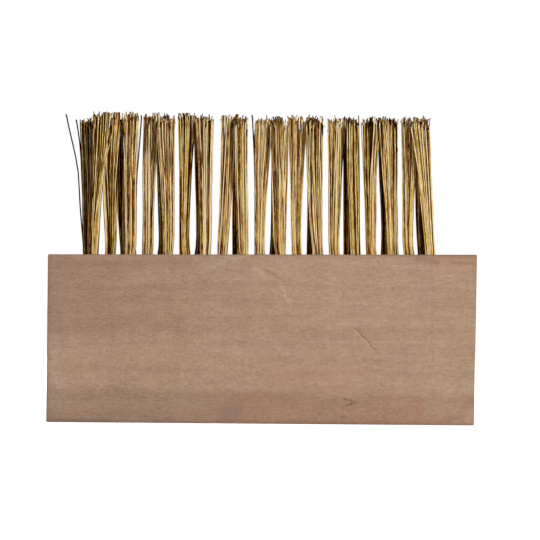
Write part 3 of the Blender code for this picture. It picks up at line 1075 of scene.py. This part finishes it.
def tones_by_turns(chance, placed):
    """Tones that paint highlights and shade by turns on wires seen side by side from the front."""
    count = placed.shape[1]
    kind = np.full(count, -1)
    for level in SEEN_LEVELS:
        across, depth = placed[level].T
        last = chance.integers(2)
        for column in np.arange(across.min(), across.max(), COLUMN_STEP * WIRE_RADIUS):
            near = np.flatnonzero(np.abs(across - column) < WIRE_RADIUS)
            if len(near) == 0:
                continue
            seen = near[np.argmin(depth[near])]
            if kind[seen] < 0:
                kind[seen] = 1 - last
            last = kind[seen]
    tones = chance.beta(*HIDDEN_TONE_SHAPE, count) * HIDDEN_TONE_TOP
    # Painted highlights and painted shade: wires seen from the front are bright and dark by turns
    tones[kind == 1] = chance.uniform(*BRIGHT_TONES, (kind == 1).sum())
    tones[kind == 0] = chance.uniform(*DARK_TONES, (kind == 0).sum())
    return tones


def wire_tones(chance, row, placed, lock, crossing, brighter):
    """A tone for each wire. The wires of a lock are a little alike, and crossing ones bright."""
    # The rear row's tones are lowered as painted shade
    lock_tones = chance.normal(ROW_TONE_WITH_REAR_SHADE[row], LOCK_TONE_SCATTER, lock.max() + 1)
    tones = tones_by_turns(chance, placed) + lock_tones[lock] + brighter
    tones[crossing] = chance.uniform(*BRIGHT_TONES, len(crossing))
    return tones


def tones_along(tones, ones, twos, heights, row):
    """Tones of the folded wires, ring by ring, changing from one wire to the other at the fold."""
    share = 1 / (1 + np.exp(-np.linspace(*FOLD_BLEND, heights.shape[1])))
    blended = tones[ones][:, None] * (1 - share) + tones[twos][:, None] * share
    return blended - ROW_FADE[row] * np.clip(heights / TIP_HEIGHT, 0, 1)


def tube_mesh(name, paths, radii, tones, tips):
    """One mesh of round tubes. paths is (wires, rings, 3), and the rest are (wires, rings)."""
    wires, rings, _ = paths.shape
    tangent = np.gradient(paths, axis=1)
    tangent /= np.linalg.norm(tangent, axis=2, keepdims=True)
    across = np.zeros_like(tangent)
    across[..., 0] = 1
    across -= (across * tangent).sum(axis=2, keepdims=True) * tangent
    across /= np.linalg.norm(across, axis=2, keepdims=True)
    other = np.cross(tangent, across)
    turn = 2 * np.pi * np.arange(WIRE_SIDES) / WIRE_SIDES
    circle = across[:, :, None] * np.cos(turn)[:, None] + other[:, :, None] * np.sin(turn)[:, None]
    points = paths[:, :, None] + circle * radii[:, :, None, None]

    ring = np.arange(rings - 1)[:, None] * WIRE_SIDES
    side = np.arange(WIRE_SIDES)[None]
    after = (side + 1) % WIRE_SIDES
    quads = np.stack([ring + side, ring + after, ring + WIRE_SIDES + after, ring + WIRE_SIDES + side], -1)
    quads = quads.reshape(-1, 4)
    first = np.arange(WIRE_SIDES)[::-1]
    last = (rings - 1) * WIRE_SIDES + np.arange(WIRE_SIDES)
    faces = []
    for offset in np.arange(wires) * rings * WIRE_SIDES:
        faces.extend((quads + offset).tolist())
        faces.append((first + offset).tolist())
        faces.append((last + offset).tolist())
    mesh = bpy.data.meshes.new(name)
    mesh.from_pydata(points.reshape(-1, 3).tolist(), [], faces)
    smooth(mesh, sharp_deg=65)
    store(mesh, "tone", np.repeat(tones.reshape(-1), WIRE_SIDES))
    store(mesh, "tip", np.repeat(tips.reshape(-1), WIRE_SIDES))
    return mesh


def build_tuft(name, x, y, number, material):
    """A tuft's wires, each one folded in two under the staple and cut ragged at both ends."""
    chance = np.random.default_rng(SEED + number)
    row = name.split("_")[0]
    count = 2 * PAIRS_PER_TUFT
    levels, placed, lock, crossing, strays = lay_out_wires(chance, name, row, count)
    longer, brighter = TUFT_LENGTH_AND_TONE.get(name, OTHER_LENGTH_AND_TONE)
    heights = tip_heights(chance, name, longer, strays, count)
    path, mark = trace_wires(chance, levels, placed, heights)

    _, staple_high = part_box("staple_" + name)
    crown = staple_high.z - STAPLE_WIRE - BLOCK_HIGH.z
    routes = []
    marks = []
    pairs = pair_wires(placed[MOUTH])
    for layer, column, one, two in pairs:
        fold = fold_route(path[one, 0], path[two, 0], column, layer, crown)
        routes.append(np.concatenate([path[one, ::-1], fold, path[two]]))
        marks.append(np.concatenate([mark[one, ::-1], np.zeros(len(fold)), mark[two]]))
    routes = np.array(routes) + np.array([x, y, BLOCK_HIGH.z])
    marks = np.array(marks)

    _, _, ones, twos = np.array(pairs).T
    tones = wire_tones(chance, row, placed, lock, crossing, brighter)
    tones = tones_along(tones, ones, twos, routes[..., 2] - BLOCK_HIGH.z, row)
    radii = WIRE_RADIUS * (1 + END_SWELLING * marks)
    stray_pairs = np.isin(ones, strays) | np.isin(twos, strays)
    tones[stray_pairs] = STRAY_TONE
    radii[stray_pairs] *= STRAY_THICKNESS
    mesh = tube_mesh("wires_" + name, routes, radii, tones, marks)
    mesh.materials.append(material)
    return add_object("wires_" + name, mesh)


def add_camera():
    data = bpy.data.cameras.new("camera")
    data.sensor_width = SENSOR_WIDTH_MM
    data.lens = LENS_MM
    camera = add_object("camera", data)
    camera.location = (CAMERA_X, BLOCK_LOW.y - CAMERA_DISTANCE, CAMERA_HEIGHT)
    camera.rotation_euler = (math.pi / 2, -math.radians(CAMERA_ROLL_DEG), 0)
    bpy.context.scene.camera = camera


def add_lamp(name, azimuth, elevation, distance, size, power):
    turn = math.radians(azimuth)
    rise = math.radians(elevation)
    away = Vector((math.sin(turn) * math.cos(rise), -math.cos(turn) * math.cos(rise), math.sin(rise)))
    data = bpy.data.lights.new(name, "AREA")
    data.shape = "SQUARE"
    data.size = size
    data.energy = power
    lamp = add_object(name, data)
    lamp.location = LAMP_TARGET + away * distance
    lamp.rotation_euler = away.to_track_quat("Z", "Y").to_euler()


def seen_directly(tree):
    """1 for what the camera sees, straight or in metal or glass, and 0 for the rest."""
    path = tree.nodes.new("ShaderNodeLightPath")
    total = path.outputs["Is Camera Ray"]
    for label in ("Is Glossy Ray", "Is Transmission Ray"):
        node = tree.nodes.new("ShaderNodeMath")
        node.operation = "MAXIMUM"
        tree.links.new(total, node.inputs[0])
        tree.links.new(path.outputs[label], node.inputs[1])
        total = node.outputs[0]
    return total


def add_world():
    """A white backdrop that gives the object only a little light."""
    world = bpy.data.worlds.new("studio")
    bpy.context.scene.world = world
    world.use_nodes = True
    tree = world.node_tree
    background = tree.nodes["Background"]
    background.inputs["Color"].default_value = (1, 1, 1, 1)
    node = tree.nodes.new("ShaderNodeMapRange")
    tree.links.new(seen_directly(tree), node.inputs["Value"])
    node.inputs["To Min"].default_value = WORLD_LIGHT
    node.inputs["To Max"].default_value = 1.0
    tree.links.new(node.outputs[0], background.inputs["Strength"])


def add_floor():
    """A white floor that keeps the object's shadow."""
    bm = bmesh.new()
    bmesh.ops.create_grid(bm, x_segments=1, y_segments=1, size=FLOOR_REACH)
    graph = Graph("floor")
    far = graph.range(graph.vector("LENGTH", graph.coordinates()), *FLOOR_FADE_MM, *FLOOR_GLOW)
    glow = graph.multiply(far, seen_directly(graph.tree))
    graph.shade(Base_Color=(FLOOR_GREY, FLOOR_GREY, FLOOR_GREY, 1), Roughness=0.9)
    graph.shade(Specular_IOR_Level=0.0, Emission_Color=(1, 1, 1, 1), Emission_Strength=glow)
    floor = object_from_bmesh(bm, "floor")
    floor.data.materials.append(graph.material)


def main():
    add_camera()
    add_world()
    add_floor()
    for name, values in LAMPS.items():
        add_lamp(name, *values)

    wood = wood_material()
    wire = wire_material()
    steel = steel_material()
    block = build_block(wood)
    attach(block, "root")
    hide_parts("block")
    for number, (name, x, y) in enumerate(tuft_axes()):
        tuft = build_tuft(name, x, y, number, wire)
        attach(tuft, "root")
        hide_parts("tuft_" + name)
        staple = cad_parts["staple_" + name]
        staple.data.materials.clear()
        staple.data.materials.append(steel)
    bpy.context.scene.view_settings.view_transform = "Standard"


main()
